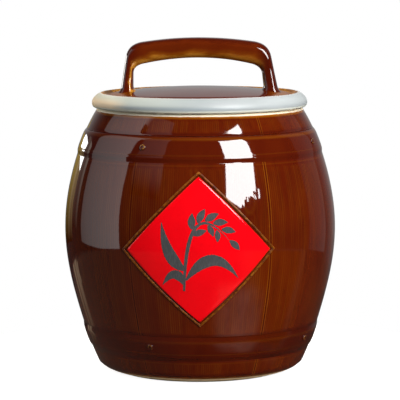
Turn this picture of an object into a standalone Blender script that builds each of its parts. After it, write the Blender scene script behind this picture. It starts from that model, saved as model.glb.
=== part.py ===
"""Barrel-shaped stoneware rice jar with a lift-off lid, in metres, +Z up.

The origin is on the ground, in the middle of the foot ring. The front of the jar, with its
diamond panel, faces -Y, and the bridge handle of the lid runs along X.
"""

import math

import bmesh
import bpy

# Barrel body
BODY_HEIGHT = 0.270
BELLY_RADIUS = 0.140
BELLY_HEIGHT = 0.147
MOUTH_RADIUS = 0.1067
HEEL_RADIUS = 0.1054
HEEL_HEIGHT = 0.009
UPPER_FULLNESS = 1.93
LOWER_FULLNESS = 1.67
WALL = 0.0085
FLOOR_THICKNESS = 0.010
FLOOR_FILLET = 0.014
LIP_ROUND = 0.0014

# Foot ring under the body
FOOT_SETBACK = 0.0184
FOOT_WIDTH = 0.008
FOOT_RECESS = 0.0035
FOOT_BEVEL = 0.0006
HEEL_RISE = 0.36

# Stave joints pressed into the outside of the barrel
STAVES = 6
STAVE_STEPS = 12
JOINT_WIDTH = 0.0032
JOINT_DEPTH = 0.0013
JOINT_FADE = 0.003

# Hoops laid round the staves: a band with a rounded shoulder above and a bead below
HOOP_WIDTH = 0.0255
HOOP_THICKNESS = 0.0016
HOOP_EDGE = 0.0007
HOOP_SHOULDER = 0.0018
HOOP_BEAD = 0.0030
LOWER_HOOP_BASE = 0.0257
UPPER_HOOP_DROP = 0.0190

# Diamond panel on the front stave: a raised tile in a narrow beaded frame
PANEL_TOP_MARGIN = 0.0119
PANEL_BOTTOM_MARGIN = 0.0149
TILE_THICKNESS = 0.0016
TILE_ROUND = 0.0007
TILE_STEPS = 12
FRAME_OFFSET = 0.0025
FRAME_WIDTH = 0.0024
FRAME_HEIGHT = 0.0017
FRAME_STEPS = 12

# Lid with a rolled rim, a low crown inside a narrow gutter, and a locating flange
LID_OVERHANG = 0.0043
RIM_HEIGHT = 0.0167
RIM_WIDEST = 0.0067
RIM_UNDERCUT = 0.0041
RIM_ROLL = 0.0095
RIM_INNER_ROUND = 0.0015
GUTTER_DEPTH = 0.0030
GUTTER_WIDTH = 0.0120
CROWN_RISE = 0.0057
CROWN_SINK = 0.0003
LID_THICKNESS = 0.0075
FLANGE_DEPTH = 0.012
FLANGE_THICKNESS = 0.005
FLANGE_PLAY = 0.0015
FLANGE_ROUND = 0.0009
FLANGE_FILLET = 0.004

# Bridge handle, drawn by its outer and inner edge seen from the front
HANDLE_RISE = 0.0731
HANDLE_INSET = 0.003
HANDLE_DEPTH = 0.027
HANDLE_SQUARENESS = 2.4
BAR_THICKNESS = 0.0205
BAR_CROWN = 0.0046
BAR_HOLLOW = 0.0063
CORNER_RUN = 0.0143
CORNER_DROP = 0.0072
CORNER_FALL = 0.0122
INNER_CORNER_INSET = 0.0057
INNER_CORNER_RUN = 0.0096
INNER_CORNER_DROP = 0.0086
INNER_CORNER_FALL = 0.0073
LEG_LEAN = 0.0079
LEG_THICKNESS = 0.0124
LEG_FLARE = 0.0048
INNER_FLARE = 0.0030
FLARE_HEIGHT = 0.0065
FLARE_KNEE = 0.0022
FLARE_DEPTH = 0.0045

# Clearances between touching pieces, and facet counts
SEAT_GAP = 0.0003
PANEL_GAP = 0.0004
MERGE_DISTANCE = 0.000001
BARREL_ROWS = 12
INSIDE_ROWS = 9
CROWN_ROWS = 4
ROUND_STEPS = 60
SECTION_POINTS = 14
SHARP_ANGLE = math.radians(35)

FOOT_RADIUS = HEEL_RADIUS - FOOT_SETBACK
FLOOR_HEIGHT = FOOT_RECESS + FLOOR_THICKNESS
LOWER_HOOP_TOP = LOWER_HOOP_BASE + HOOP_WIDTH
UPPER_HOOP_TOP = BODY_HEIGHT - UPPER_HOOP_DROP
UPPER_HOOP_BASE = UPPER_HOOP_TOP - HOOP_WIDTH
MOUTH_BORE = MOUTH_RADIUS - WALL
LID_RADIUS = MOUTH_RADIUS + LID_OVERHANG
GUTTER_RADIUS = LID_RADIUS - RIM_ROLL - RIM_INNER_ROUND
CROWN_RADIUS = GUTTER_RADIUS - GUTTER_WIDTH


def barrel_radius(height):
    """Outer radius of the staves: a fuller curve below the belly than above it."""
    if height < BELLY_HEIGHT:
        share = (BELLY_HEIGHT - height) / (BELLY_HEIGHT - HEEL_HEIGHT)
        return BELLY_RADIUS - (BELLY_RADIUS - HEEL_RADIUS) * share ** LOWER_FULLNESS
    share = (height - BELLY_HEIGHT) / (BODY_HEIGHT - BELLY_HEIGHT)
    return BELLY_RADIUS - (BELLY_RADIUS - MOUTH_RADIUS) * share ** UPPER_FULLNESS


def spread(first, last, steps):
    """Evenly spaced values from first to last, both included."""
    return [first + (last - first) * step / steps for step in range(steps + 1)]


def arc(centre, radii, start, end, steps):
    """Points (radius, height) on an ellipse, from one angle to another in degrees."""
    return [
        (centre[0] + radii[0] * math.cos(angle), centre[1] + radii[1] * math.sin(angle))
        for angle in spread(math.radians(start), math.radians(end), steps)
    ]


def bend(start, corner, end, steps):
    """A quadratic curve that leaves start towards corner and arrives at end from it."""
    points = []
    for share in spread(0.0, 1.0, steps):
        near = (1 - share) ** 2
        middle = 2 * share * (1 - share)
        far = share ** 2
        points.append(tuple(
            near * a + middle * b + far * c for a, b, c in zip(start, corner, end)
        ))
    return points


def glaze(name, colour, roughness):
    """A glossy ceramic glaze of one colour, in linear values."""
    material = bpy.data.materials.new(name)
    material.diffuse_color = (*colour, 1.0)
    material.use_nodes = True
    shader = material.node_tree.nodes["Principled BSDF"]
    shader.inputs["Base Color"].default_value = (*colour, 1.0)
    shader.inputs["Roughness"].default_value = roughness
    shader.inputs["Metallic"].default_value = 0.0
    return material


def place(name, bm, material, location=(0.0, 0.0, 0.0), parent=None):
    """Turn a closed bmesh into a named object, smooth but for its real edges."""
    bmesh.ops.recalc_face_normals(bm, faces=bm.faces)
    mesh = bpy.data.meshes.new(name)
    bm.to_mesh(mesh)
    bm.free()
    mesh.shade_smooth()
    mesh.set_sharp_from_angle(angle=SHARP_ANGLE)
    mesh.materials.append(material)
    piece = bpy.data.objects.new(name, mesh)
    piece.location = location
    piece.parent = parent
    bpy.context.scene.collection.objects.link(piece)
    return piece


def spin(profile, steps, closed, start_angle=0.0):
    """Turn a profile of (radius, height) points once round the Z axis."""
    bm = bmesh.new()
    verts = [
        bm.verts.new((r * math.cos(start_angle), r * math.sin(start_angle), z))
        for r, z in profile
    ]
    edges = [bm.edges.new(pair) for pair in zip(verts, verts[1:])]
    if closed:
        edges.append(bm.edges.new((verts[-1], verts[0])))
    bmesh.ops.spin(
        bm, geom=verts + edges, cent=(0, 0, 0), axis=(0, 0, 1),
        angle=2 * math.pi, steps=steps,
    )
    bmesh.ops.remove_doubles(bm, verts=bm.verts, dist=MERGE_DISTANCE)
    return bm


def join_rings(bm, rings):
    """Skin neighbouring rings of as many vertices each with quads."""
    for ring, following in zip(rings, rings[1:]):
        count = len(ring)
        for i in range(count):
            j = (i + 1) % count
            bm.faces.new((ring[i], ring[j], following[j], following[i]))


def body_profile():
    """Half section of the body, from the middle of its underside to the middle of its floor."""
    foot_inner = FOOT_RADIUS - FOOT_WIDTH
    underside = [
        (0.0, FOOT_RECESS),
        (foot_inner - FOOT_RECESS, FOOT_RECESS),
        (foot_inner, 0.0),
        (FOOT_RADIUS - FOOT_BEVEL, 0.0),
        (FOOT_RADIUS, FOOT_BEVEL),
    ]
    slope = LOWER_FULLNESS * (BELLY_RADIUS - HEEL_RADIUS) / (BELLY_HEIGHT - HEEL_HEIGHT)
    knee_height = (
        FOOT_BEVEL + HEEL_RISE * (HEEL_RADIUS - FOOT_RADIUS - slope * HEEL_HEIGHT)
    ) / (1 - HEEL_RISE * slope)
    knee = (HEEL_RADIUS - slope * (HEEL_HEIGHT - knee_height), knee_height)
    heel = bend((FOOT_RADIUS, FOOT_BEVEL), knee, (HEEL_RADIUS, HEEL_HEIGHT), 4)[1:]
    lip_height = BODY_HEIGHT - LIP_ROUND
    heights = spread(HEEL_HEIGHT, LOWER_HOOP_BASE, 2)[1:]
    heights += spread(LOWER_HOOP_BASE, LOWER_HOOP_TOP, 2)[1:]
    heights += spread(LOWER_HOOP_TOP, UPPER_HOOP_BASE, BARREL_ROWS)[1:]
    heights += spread(UPPER_HOOP_BASE, UPPER_HOOP_TOP, 2)[1:]
    heights += spread(UPPER_HOOP_TOP, lip_height, 2)[1:]
    outside = [(barrel_radius(z), z) for z in heights]
    rounding = (LIP_ROUND, LIP_ROUND)
    lip = arc((barrel_radius(lip_height) - LIP_ROUND, lip_height), rounding, 0, 90, 2)[1:]
    lip += arc((MOUTH_BORE + LIP_ROUND, lip_height), rounding, 90, 180, 2)
    fillet_top = FLOOR_HEIGHT + FLOOR_FILLET
    inside_heights = spread(lip_height, fillet_top, INSIDE_ROWS)[1:]
    inside = [(barrel_radius(z) - WALL, z) for z in inside_heights]
    corner_radius = barrel_radius(fillet_top) - WALL
    floor_edge = (corner_radius - FLOOR_FILLET, FLOOR_HEIGHT)
    fillet = bend((corner_radius, fillet_top), (corner_radius, FLOOR_HEIGHT), floor_edge, 3)[1:]
    return underside + heel + outside + lip + inside + fillet + [(0.0, FLOOR_HEIGHT)]


def press_joints(bm, first_joint):
    """Draw the columns beside each stave joint in to its lips, and sink the joint itself."""
    stave = 2 * math.pi / STAVES
    lip = JOINT_WIDTH / 2 / BELLY_RADIUS
    for vert in bm.verts:
        radius = math.hypot(vert.co.x, vert.co.y)
        if radius < MERGE_DISTANCE:
            continue
        turn = math.atan2(vert.co.y, vert.co.x) - first_joint
        number, column = divmod(round(turn / stave * STAVE_STEPS), STAVE_STEPS)
        angle = first_joint + number * stave
        if column:
            angle += lip + (stave - 2 * lip) * (column - 1) / (STAVE_STEPS - 2)
        elif abs(radius - barrel_radius(vert.co.z)) < JOINT_DEPTH / 100:
            from_end = min(vert.co.z - HEEL_HEIGHT, BODY_HEIGHT - vert.co.z)
            radius -= JOINT_DEPTH * min(1.0, max(0.0, from_end / JOINT_FADE))
        vert.co.x = radius * math.cos(angle)
        vert.co.y = radius * math.sin(angle)


def make_body(material):
    first_joint = -math.pi / 2 + math.pi / STAVES
    bm = spin(body_profile(), STAVES * STAVE_STEPS, False, first_joint)
    press_joints(bm, first_joint)
    place("jar_body", bm, material)


def make_hoop(name, base, material):
    """A band round the barrel, its back a seating gap clear of the staves."""
    top = base + HOOP_WIDTH
    groove = base + HOOP_BEAD
    rise = HOOP_THICKNESS - HOOP_EDGE
    back = [(SEAT_GAP, z) for z in spread(base, top, 2)]
    shoulder = arc((HOOP_EDGE, top - HOOP_SHOULDER), (rise, HOOP_SHOULDER), 90, 0, 2)
    under = [(HOOP_THICKNESS, groove + HOOP_SHOULDER), (HOOP_EDGE, groove)]
    bead = arc((HOOP_EDGE, base + HOOP_BEAD / 2), (rise, HOOP_BEAD / 2), 0, -90, 1)
    section = [(barrel_radius(z) + out, z) for out, z in back + shoulder + under + bead]
    place(name, spin(section, STAVES * STAVE_STEPS, True), material)


def panel_size():
    """Centre height, half width along the barrel and half height of the diamond tile."""
    top = UPPER_HOOP_BASE - PANEL_TOP_MARGIN
    bottom = LOWER_HOOP_TOP + PANEL_BOTTOM_MARGIN
    return (top + bottom) / 2, BELLY_RADIUS * math.pi / STAVES, (top - bottom) / 2


def wrap(bm):
    """Lay a flat shape (across, up, outwards) on the front of the barrel."""
    centre = panel_size()[0]
    for vert in bm.verts:
        across, up, out = vert.co
        angle = across / BELLY_RADIUS
        radius = barrel_radius(centre + up) + out
        vert.co = (radius * math.sin(angle), -radius * math.cos(angle), centre + up)


def make_tile(material):
    """A diamond slab, made flat, rounded along its front edge and bent round the staves."""
    half_width, half_height = panel_size()[1:]
    bm = bmesh.new()
    bmesh.ops.create_grid(bm, x_segments=TILE_STEPS, y_segments=TILE_STEPS, size=0.5)
    for vert in bm.verts:
        s, t = vert.co.x, vert.co.y
        vert.co = ((s - t) * half_width, (s + t) * half_height, PANEL_GAP)
    front = bmesh.ops.extrude_face_region(bm, geom=bm.faces[:], use_keep_orig=True)["geom"]
    for vert in (item for item in front if isinstance(item, bmesh.types.BMVert)):
        vert.co.z = TILE_THICKNESS
    bm.normal_update()
    rim = [
        edge for edge in bm.edges
        if all(v.co.z > TILE_THICKNESS - MERGE_DISTANCE for v in edge.verts)
        and any(abs(face.normal.z) < 0.5 for face in edge.link_faces)
    ]
    bmesh.ops.bevel(
        bm, geom=rim, offset=TILE_ROUND, segments=2, profile=0.5,
        affect="EDGES", clamp_overlap=True,
    )
    wrap(bm)
    place("diamond_tile", bm, material)


def make_frame(material):
    """A narrow half-round bead laid round the tile."""
    half_width, half_height = panel_size()[1:]
    reach = half_width * half_height / math.hypot(half_width, half_height)
    flat = FRAME_WIDTH / 2
    section = [
        (-flat, PANEL_GAP),
        (-flat * 0.9, FRAME_HEIGHT * 0.62),
        (-flat * 0.42, FRAME_HEIGHT),
        (flat * 0.42, FRAME_HEIGHT),
        (flat * 0.9, FRAME_HEIGHT * 0.62),
        (flat, PANEL_GAP),
    ]
    corners = [(half_width, 0.0), (0.0, half_height), (-half_width, 0.0), (0.0, -half_height)]
    bm = bmesh.new()
    rings = []
    for offset, out in section:
        growth = (reach + FRAME_OFFSET + offset) / reach
        ring = []
        for start, end in zip(corners, corners[1:] + corners[:1]):
            for share in spread(0.0, 1.0, FRAME_STEPS)[:-1]:
                across = start[0] + (end[0] - start[0]) * share
                up = start[1] + (end[1] - start[1]) * share
                ring.append(bm.verts.new((across * growth, up * growth, out)))
        rings.append(ring)
    join_rings(bm, rings + rings[:1])
    wrap(bm)
    place("diamond_frame", bm, material)


def crown_height(radius):
    """Top of the lid's crown over the mouth plane, at a distance from its middle."""
    share = radius / CROWN_RADIUS
    return RIM_HEIGHT - CROWN_SINK + CROWN_RISE * (1 - share ** 2)


def lid_profile():
    """Half section of the lid over the mouth plane, from the top of its crown to below it."""
    roll_radius = LID_RADIUS - RIM_ROLL
    fillet = GUTTER_DEPTH - RIM_INNER_ROUND
    wall_height = RIM_HEIGHT - RIM_INNER_ROUND
    crown = [(r, crown_height(r)) for r in spread(0.0, CROWN_RADIUS, CROWN_ROWS)]
    edge_height = crown_height(CROWN_RADIUS)
    gutter_middle = GUTTER_RADIUS - GUTTER_WIDTH / 3
    brow = (GUTTER_RADIUS - GUTTER_WIDTH / 2, edge_height - GUTTER_DEPTH / 6)
    crown += bend(crown[-1], brow, (gutter_middle, RIM_HEIGHT - GUTTER_DEPTH), 2)[1:]
    gutter = arc((GUTTER_RADIUS - fillet, wall_height), (fillet, fillet), -90, 0, 2)
    gutter += arc(
        (roll_radius, wall_height), (RIM_INNER_ROUND, RIM_INNER_ROUND), 180, 90, 2
    )[1:-1]
    roll = arc((roll_radius, RIM_WIDEST), (RIM_ROLL, RIM_HEIGHT - RIM_WIDEST), 90, 0, 5)
    roll += arc(
        (LID_RADIUS - RIM_UNDERCUT, RIM_WIDEST), (RIM_UNDERCUT, RIM_WIDEST), 0, -90, 3
    )[1:]
    outer = MOUTH_BORE - FLANGE_PLAY
    inner = outer - FLANGE_THICKNESS
    bottom = -FLANGE_DEPTH + FLANGE_ROUND
    rounding = (FLANGE_ROUND, FLANGE_ROUND)
    flange = [(outer, 0.0)]
    flange += arc((outer - FLANGE_ROUND, bottom), rounding, 0, -90, 1)
    flange += arc((inner + FLANGE_ROUND, bottom), rounding, -90, -180, 1)
    ceiling = inner - FLANGE_FILLET
    under = crown_height(ceiling) - LID_THICKNESS
    flange += arc((ceiling, under - FLANGE_FILLET), (FLANGE_FILLET, FLANGE_FILLET), 0, 90, 2)
    hollow = [(r, crown_height(r) - LID_THICKNESS) for r in spread(ceiling, 0.0, CROWN_ROWS)[1:]]
    return crown + gutter + roll + flange + hollow


def make_lid(material, parent):
    place("lid", spin(lid_profile(), ROUND_STEPS, False), material, parent=parent)


def along(start, end, height):
    """The point at a height on the straight line from start to end."""
    share = (height - start[1]) / (end[1] - start[1])
    return (start[0] + (end[0] - start[0]) * share, height)


def rail(top, shoulder, corner, leg_top, leg_foot, foot):
    """Half an edge of the handle, from the middle of the bar down to one foot."""
    bar = [
        (shoulder[0] * share, top + (shoulder[1] - top) * share ** 2)
        for share in spread(0.0, 1.0, 7)
    ]
    turn = bend(shoulder, corner, leg_top, 6)[1:]
    leg = [along(leg_top, leg_foot, z) for z in spread(leg_top[1], leg_foot[1], 3)[1:]]
    knee = along(leg_top, leg_foot, foot[1] + FLARE_KNEE)
    return bar + turn + leg + bend(leg_foot, knee, foot, 4)[1:]


def handle_rails():
    """Outer and inner edge of the handle, seen from the front, over the mouth plane."""
    foot = CROWN_RADIUS - HANDLE_INSET
    seat = crown_height(foot) + SEAT_GAP
    leg_foot = (foot - LEG_FLARE, seat + FLARE_HEIGHT)
    corner = (leg_foot[0] - LEG_LEAN, HANDLE_RISE - CORNER_DROP)
    shoulder = (corner[0] - CORNER_RUN, HANDLE_RISE - BAR_CROWN)
    leg_top = along(corner, leg_foot, corner[1] - CORNER_FALL)
    outer = rail(HANDLE_RISE, shoulder, corner, leg_top, leg_foot, (foot, seat))
    under = HANDLE_RISE - BAR_THICKNESS
    leg_foot = (leg_foot[0] - LEG_THICKNESS, leg_foot[1])
    corner = (corner[0] - INNER_CORNER_INSET, under - INNER_CORNER_DROP)
    shoulder = (corner[0] - INNER_CORNER_RUN, under - BAR_HOLLOW)
    leg_top = along(corner, leg_foot, corner[1] - INNER_CORNER_FALL)
    foot = leg_foot[0] - INNER_FLARE
    seat = crown_height(foot) + SEAT_GAP
    inner = rail(under, shoulder, corner, leg_top, leg_foot, (foot, seat))
    return outer, inner


def make_handle(material, parent):
    """A strap swept between its two edges, rounded all round, its feet seated on the crown."""
    outer, inner = handle_rails()
    seat = outer[-1][1]
    half = list(zip(outer, inner))
    stations = [((-o[0], o[1]), (-i[0], i[1])) for o, i in reversed(half[1:])] + half
    power = 2 / HANDLE_SQUARENESS
    bm = bmesh.new()
    rings = []
    for (outer_x, outer_z), (inner_x, inner_z) in stations:
        spreading = max(0.0, 1 - (outer_z - seat) / FLARE_HEIGHT) ** 2
        depth = HANDLE_DEPTH / 2 + FLARE_DEPTH * spreading
        ring = []
        for point in range(SECTION_POINTS):
            angle = 2 * math.pi * point / SECTION_POINTS
            side = math.copysign(abs(math.cos(angle)) ** power, math.cos(angle))
            back = math.copysign(abs(math.sin(angle)) ** power, math.sin(angle))
            out_share = (1 + side) / 2
            ring.append(bm.verts.new((
                inner_x + (outer_x - inner_x) * out_share,
                depth * back,
                inner_z + (outer_z - inner_z) * out_share,
            )))
        rings.append(ring)
    for sole in (rings[0], rings[-1]):
        for vert in sole:
            vert.co.z = crown_height(math.hypot(vert.co.x, vert.co.y)) + SEAT_GAP
        bm.faces.new(sole)
    join_rings(bm, rings)
    place("lid_handle", bm, material, parent=parent)


def main():
    for old in list(bpy.data.objects):
        bpy.data.objects.remove(old)
    brown = glaze("brown_glaze", (0.150, 0.022, 0.004), 0.12)
    make_body(brown)
    hoop_brown = glaze("hoop_glaze", (0.133, 0.015, 0.003), 0.12)
    make_hoop("lower_hoop", LOWER_HOOP_BASE, hoop_brown)
    make_hoop("upper_hoop", UPPER_HOOP_BASE, hoop_brown)
    make_frame(glaze("amber_glaze", (0.230, 0.056, 0.006), 0.15))
    make_tile(glaze("red_glaze", (0.870, 0.002, 0.006), 0.12))
    lid_seat = bpy.data.objects.new("lid_seat", None)
    lid_seat.location = (0.0, 0.0, BODY_HEIGHT + SEAT_GAP)
    bpy.context.scene.collection.objects.link(lid_seat)
    make_lid(glaze("celadon_glaze", (0.670, 0.700, 0.650), 0.15), lid_seat)
    make_handle(glaze("handle_glaze", (0.127, 0.020, 0.004), 0.12), lid_seat)


main()
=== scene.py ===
# %% [markdown]
# # A stoneware rice jar that looks like a small barrel
#
# Cast and thrown clay under one coat of glossy brown glaze copies a coopered barrel: six
# staves with joints between them, two hoops with nail heads, combed wood grain, and a red
# diamond on the front stave. The lid has a pale celadon rim round a low brown crown, and a
# bridge handle.
#
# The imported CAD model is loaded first. It gives the size and place of every piece, and it
# stays as it is: each finer piece made here stands in for one of its nodes.

import math

import bmesh
import bpy
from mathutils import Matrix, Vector, noise


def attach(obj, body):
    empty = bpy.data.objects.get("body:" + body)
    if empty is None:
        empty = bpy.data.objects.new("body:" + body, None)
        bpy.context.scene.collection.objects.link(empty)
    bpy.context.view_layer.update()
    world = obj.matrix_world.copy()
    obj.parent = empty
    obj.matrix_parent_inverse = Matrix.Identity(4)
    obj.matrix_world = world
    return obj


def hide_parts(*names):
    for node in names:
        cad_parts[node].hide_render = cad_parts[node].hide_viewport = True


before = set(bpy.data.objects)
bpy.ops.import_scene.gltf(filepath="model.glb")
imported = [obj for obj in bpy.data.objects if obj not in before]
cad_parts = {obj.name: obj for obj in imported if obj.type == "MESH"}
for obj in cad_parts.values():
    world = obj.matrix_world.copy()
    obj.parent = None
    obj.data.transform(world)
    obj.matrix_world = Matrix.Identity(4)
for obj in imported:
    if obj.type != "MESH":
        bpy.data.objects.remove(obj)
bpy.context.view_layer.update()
MM = 0.001

# %% [markdown]
# ## Small helpers for working as by hand
#
# Blender's operators act on whatever is selected, so every step starts by saying what that
# is: objects with `activate`, a whole mesh with `edit`, and with `pick` the vertices that
# dragging a box over them would select. `weigh` paints a vertex group, and `note` keeps a
# value at every vertex for the glaze to read.


# %% Selecting
def activate(*pieces):
    """Select these objects and nothing else, and make the first of them active."""
    for item in bpy.context.selected_objects:
        item.select_set(False)
    for piece in pieces:
        piece.select_set(True)
    bpy.context.view_layer.objects.active = pieces[0]


def mode(name):
    bpy.ops.object.mode_set(mode=name)


def select_all(action="SELECT"):
    bpy.ops.mesh.select_all(action=action)


def edit(piece):
    activate(piece)
    mode("EDIT")
    select_all()


def add(shape, name, **settings):
    """Add a shape with one of Blender's operators, and name it and its mesh."""
    shape(**settings)
    piece = bpy.context.object
    piece.name = piece.data.name = name
    return piece


def move(step, extrude=False):
    """Move what is selected, or extrude it by that much."""
    if extrude:
        bpy.ops.mesh.extrude_region_move(TRANSFORM_OT_translate={"value": step})
    else:
        bpy.ops.transform.translate(value=step)


def copy_of(piece):
    """Duplicate an object together with its mesh."""
    activate(piece)
    bpy.ops.object.duplicate()
    return bpy.context.object


def pick(piece, wanted):
    """In edit mode, select just the vertices whose place the function wanted accepts."""
    select_all("DESELECT")
    mesh = bmesh.from_edit_mesh(piece.data)
    for vert in mesh.verts:
        vert.select = wanted(vert.co)
    mesh.select_flush(True)
    bmesh.update_edit_mesh(piece.data)


def weigh(piece, group, weight):
    """Paint a vertex group with the weight that a function gives for each place."""
    made = piece.vertex_groups.new(name=group)
    for vert in piece.data.vertices:
        made.add([vert.index], weight(vert.co), "REPLACE")


def note(piece, name, value):
    """Keep the value that a function gives for the place of each vertex."""
    values = [value(vert.co) for vert in piece.data.vertices]
    piece.data.attributes.new(name, "FLOAT", "POINT").data.foreach_set("value", values)


def apply_modifier(piece, kind, **settings):
    """Add a modifier, set it and apply it, so that its result becomes the mesh."""
    activate(piece)
    modifier = piece.modifiers.new(kind.lower(), kind)
    for name, value in settings.items():
        setattr(modifier, name, value)
    bpy.ops.object.modifier_apply(modifier=modifier.name)


def clean_up(piece, merge=0.002 * MM):
    """Close seams and poles, and turn all faces outwards, which makes the volume positive."""
    edit(piece)
    bpy.ops.mesh.remove_doubles(threshold=merge)
    bpy.ops.mesh.normals_make_consistent(inside=False)
    if bmesh.from_edit_mesh(piece.data).calc_volume(signed=True) < 0:
        bpy.ops.mesh.flip_normals()
    mode("OBJECT")


def finish_piece(piece, smooth_angle=40):
    """Put the object at the origin with its place in its mesh, and shade it smooth."""
    activate(piece)
    bpy.ops.object.transform_apply(location=True, rotation=True, scale=True)
    bpy.ops.object.shade_smooth_by_angle(angle=math.radians(smooth_angle))
    triangles = sum(len(face.vertices) - 2 for face in piece.data.polygons)
    print(f"{piece.name}: {triangles} triangles")
    return piece


# %% [markdown]
# ## Turning on the wheel
#
# A potter holds a shape against turning clay. Here half of the section is drawn by extruding
# one vertex again and again, and a Screw modifier turns it once round the vertical axis.
# `spread` and `bend` set out the points.


# %% Lathe
def lathe(name, section, steps, closed=False):
    """Turn a chain of (radius, height) points round the Z axis."""
    piece = add(bpy.ops.mesh.primitive_plane_add, name, size=MM)
    edit(piece)
    bpy.ops.mesh.merge(type="CENTER")
    here = Vector((section[0][0], 0, section[0][1]))
    move(here)
    for radius, height in section[1:] + section[:1] * closed:
        there = Vector((radius, 0, height))
        move(there - here, extrude=True)
        here = there
    select_all()
    bpy.ops.mesh.remove_doubles(threshold=0.002 * MM)
    mode("OBJECT")
    apply_modifier(
        piece, "SCREW", angle=2 * math.pi, steps=steps, render_steps=steps,
        use_merge_vertices=True, merge_threshold=0.002 * MM, use_normal_calculate=True,
    )
    clean_up(piece)
    return piece


def spread(first, last, count):
    """Evenly spaced values from first to last, both included."""
    return [first + (last - first) * step / count for step in range(count + 1)]


def bend(start, corner, end, count):
    """Places on a quadratic curve, from start towards corner and on to end."""
    return [
        tuple((1 - t) ** 2 * a + 2 * t * (1 - t) * b + t * t * c
              for a, b, c in zip(start, corner, end))
        for t in spread(0.0, 1.0, count)
    ]


# %% [markdown]
# ## The barrel's outline
#
# The outline was measured in the photograph, carried back through the camera and smoothed
# with one polynomial. The glaze is a mirror, so a kink that is too small to see in the
# outline would still break every reflection.

# %% Outline of the staves
OUTLINE_MIDDLE = 0.140
OUTLINE_REACH = 0.130
OUTLINE_TERMS = (139.57, 4.9075, -40.9734, -5.2278, 17.6726, 0.6087, -9.9189)


def barrel_radius(height):
    """Outer radius of the staves at a height, in metres."""
    share = (height - OUTLINE_MIDDLE) / OUTLINE_REACH
    return MM * sum(term * share**power for power, term in enumerate(OUTLINE_TERMS))


LOWER_HOOP = (0.0257, 0.0512)
UPPER_HOOP = (0.2255, 0.2510)
MOUTH_HEIGHT = 0.270
print("belly radius", round(barrel_radius(0.148) / MM, 2), "mm")

# %% [markdown]
# ## The pot
#
# The pot is one cast piece: a foot ring, a rounded heel, the staves, a lip that stands up a
# little along its outer edge, and a smooth inside. The staves have shallow seats with soft
# edges for the hoops, and the clay swells a little to meet the top of the upper one. In
# millimetres, the edges of a seat are (height from the hoop's edge, outwards), the foot is
# (radius, height), and the lip and the floor's corner are (outwards from the wall, height).
# Free rows are (first, last, how many steps), between the seats and down the inside.

# %% Pot section
SEAT_BELOW = ((-4.6, 0.0), (-2.4, 0.0), (-0.9, 0.0), (-0.7, 0.0), (-0.3, -0.15), (0.4, -0.95))
SEAT_ABOVE = ((0.5, -0.95), (0.2, -0.2), (-0.1, 0.26), (-0.6, 0.13), (-1.3, 0.04), (-2.2, 0.0),
              (-4.6, 0.0))
MOUTH_LEAN = 0.022
FOOT = (
    (0.0, 3.5), (40.0, 3.5), (70.0, 3.5), (74.5, 3.4), (77.0, 2.6), (78.7, 1.0), (79.2, 0.3),
    (79.8, 0.0), (83.0, 0.0), (86.2, 0.0), (86.9, 0.35), (87.6, 0.9), (90.2, 1.4), (93.6, 2.3),
    (97.1, 3.6), (100.4, 5.2), (103.2, 7.2),
)
LIP_EDGE = ((0.2690, -0.00003), (0.2705, -0.0001), (0.2713, -0.0004), (0.2717, -0.0009))
LIP = ((-1.9, 271.7), (-2.8, 271.4), (-4.0, 270.3), (-4.7, 270.0), (-7.1, 270.0),
       (-8.0, 269.7), (-8.5, 269.0))
FLOOR_CORNER = ((-2.6, 21.5), (-7.5, 16.0), (-14.0, 13.8))
WALL = 0.0085
FLOOR_HEIGHT = 0.0135
FREE_ROWS = (
    (0.0095, LOWER_HOOP[0] - 0.0062, 3),
    (LOWER_HOOP[1] + 0.0070, UPPER_HOOP[0] - 0.0070, 42),
    (UPPER_HOOP[1] + 0.0068, 0.2676, 3),
)
INSIDE_ROWS = (0.262, 0.030, 9)
COLUMNS = 720


def seat_below(base):
    return [(base + up * MM, out * MM) for up, out in SEAT_BELOW]


def seat_above(top, swell):
    return [(top - up * MM, min(out, out * swell) * MM) for up, out in SEAT_ABOVE]


def leaned(place):
    """The clay above the upper hoop leans in a little more than the rest of the outline."""
    radius, height = place
    return (radius - MOUTH_LEAN * max(0.0, height - UPPER_HOOP[1] - 0.003), height)


def pot_section():
    """Half section of the pot, from the middle of its underside to the middle of its floor."""
    low, middle, high = ([(z, 0.0) for z in spread(*rows)] for rows in FREE_ROWS)
    rows = low + seat_below(LOWER_HOOP[0]) + seat_above(LOWER_HOOP[1], 0.0)
    rows += middle + seat_below(UPPER_HOOP[0]) + seat_above(UPPER_HOOP[1], 1.0)
    rows += high + list(LIP_EDGE)
    section = [(r * MM, z * MM) for r, z in FOOT]
    section += [leaned((barrel_radius(z) + out, z)) for z, out in rows]
    section += [(barrel_radius(MOUTH_HEIGHT) + out * MM, z * MM) for out, z in LIP]
    section += [(barrel_radius(z) - WALL, z) for z in spread(*INSIDE_ROWS)]
    corner = barrel_radius(INSIDE_ROWS[1]) - WALL
    section += [(corner + out * MM, z * MM) for out, z in FLOOR_CORNER]
    return section + [(r, FLOOR_HEIGHT) for r in (0.080, 0.040, 0.0)]


pot = lathe("pot", pot_section(), COLUMNS)

# %% [markdown]
# ## Stave joints
#
# Grooves are pressed into the clay every 60 degrees and stop at the hoops. A column of the
# mesh runs down the middle of each. It is selected over the two lower free bands and pushed
# in with Shrink/Fatten, and its neighbours follow less deeply. The glaze has filled the
# joints almost level, and above the upper hoop altogether.

# %% Press the joints
STAVES = 6
COLUMN_ANGLE = 2 * math.pi / COLUMNS
FREE_BANDS = ((0.0125, 0.0222), (0.0545, 0.2205), (0.2545, 0.2665))
JOINT_STEPS = {0: -0.05, 1: -0.02}


def reach(place):
    """Distance from the jar's axis."""
    return math.hypot(place.x, place.y)


def column_of(place):
    return round(math.atan2(place.y, place.x) / COLUMN_ANGLE)


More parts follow.
